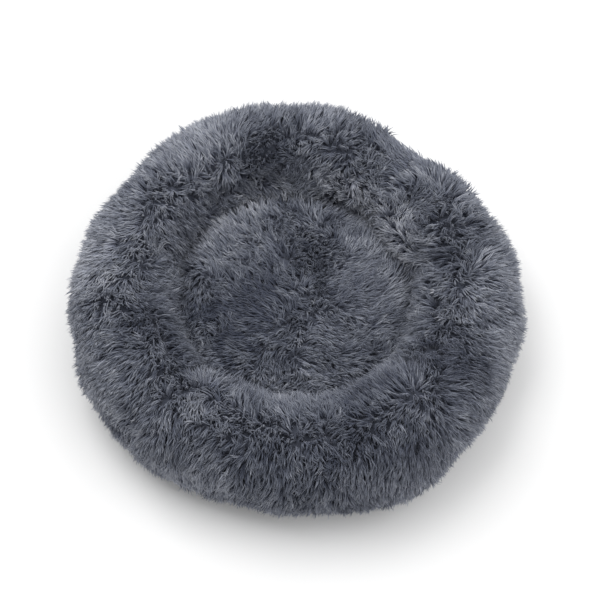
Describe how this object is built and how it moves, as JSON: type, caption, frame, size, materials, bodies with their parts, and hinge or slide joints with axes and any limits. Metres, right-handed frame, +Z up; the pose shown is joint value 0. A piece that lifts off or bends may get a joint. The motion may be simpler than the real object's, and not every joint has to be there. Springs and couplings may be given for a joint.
{
  "type": "pet cushion bed",
  "caption": "Round pet bed: a stuffed long-pile plush bolster round a sunken centre pad, in a zipped washable cover with removable inserts.",
  "frame": {"origin": "on the floor under the middle of the bed", "axes": "+Z up, +X to the right and -Y to the front, as the bed is looked at with its zip running left to right"},
  "size_m": [0.6, 0.6, 0.165],
  "materials": {
    "plush": "matte",
    "base_cloth": "matte",
    "zip_tape": "matte",
    "zip_nylon": "satin",
    "zip_metal": "satin",
    "insert_casing": "matte",
    "fibre_fill": "matte",
    "label_ribbon": "satin"
  },
  "bodies": {
    "bed": {"bolster_fur_front_right": "plush", "bolster_fur_back_left": "plush", "centre_fur_panel": "plush", "base_panel_front": "base_cloth", "base_panel_rear": "base_cloth", "zip_tape_front": "zip_tape", "zip_tape_rear": "zip_tape", "zip_coil_front": "zip_nylon", "zip_coil_rear": "zip_nylon", "zip_bottom_stop": "zip_metal", "zip_top_stop_front": "zip_metal", "zip_top_stop_rear": "zip_metal", "ring_insert_casing": "insert_casing", "pad_insert_casing": "insert_casing", "ring_insert_fill": "fibre_fill", "pad_insert_fill": "fibre_fill", "care_label": "label_ribbon"},
    "slider": {"zip_slider": "zip_metal"},
    "pull": {"zip_pull": "zip_metal"}
  },
  "joints": [
    {"name": "zip_slide", "type": "slide", "parent": "bed", "child": "slider", "axis": [-1, 0, 0], "range_m": [0, 0.46462]},
    {"name": "pull_hinge", "type": "hinge", "parent": "slider", "child": "pull", "pos_m": [0.23231, 0, 0.0025], "axis": [0, -1, 0], "range_deg": [0, 180]}
  ]
}
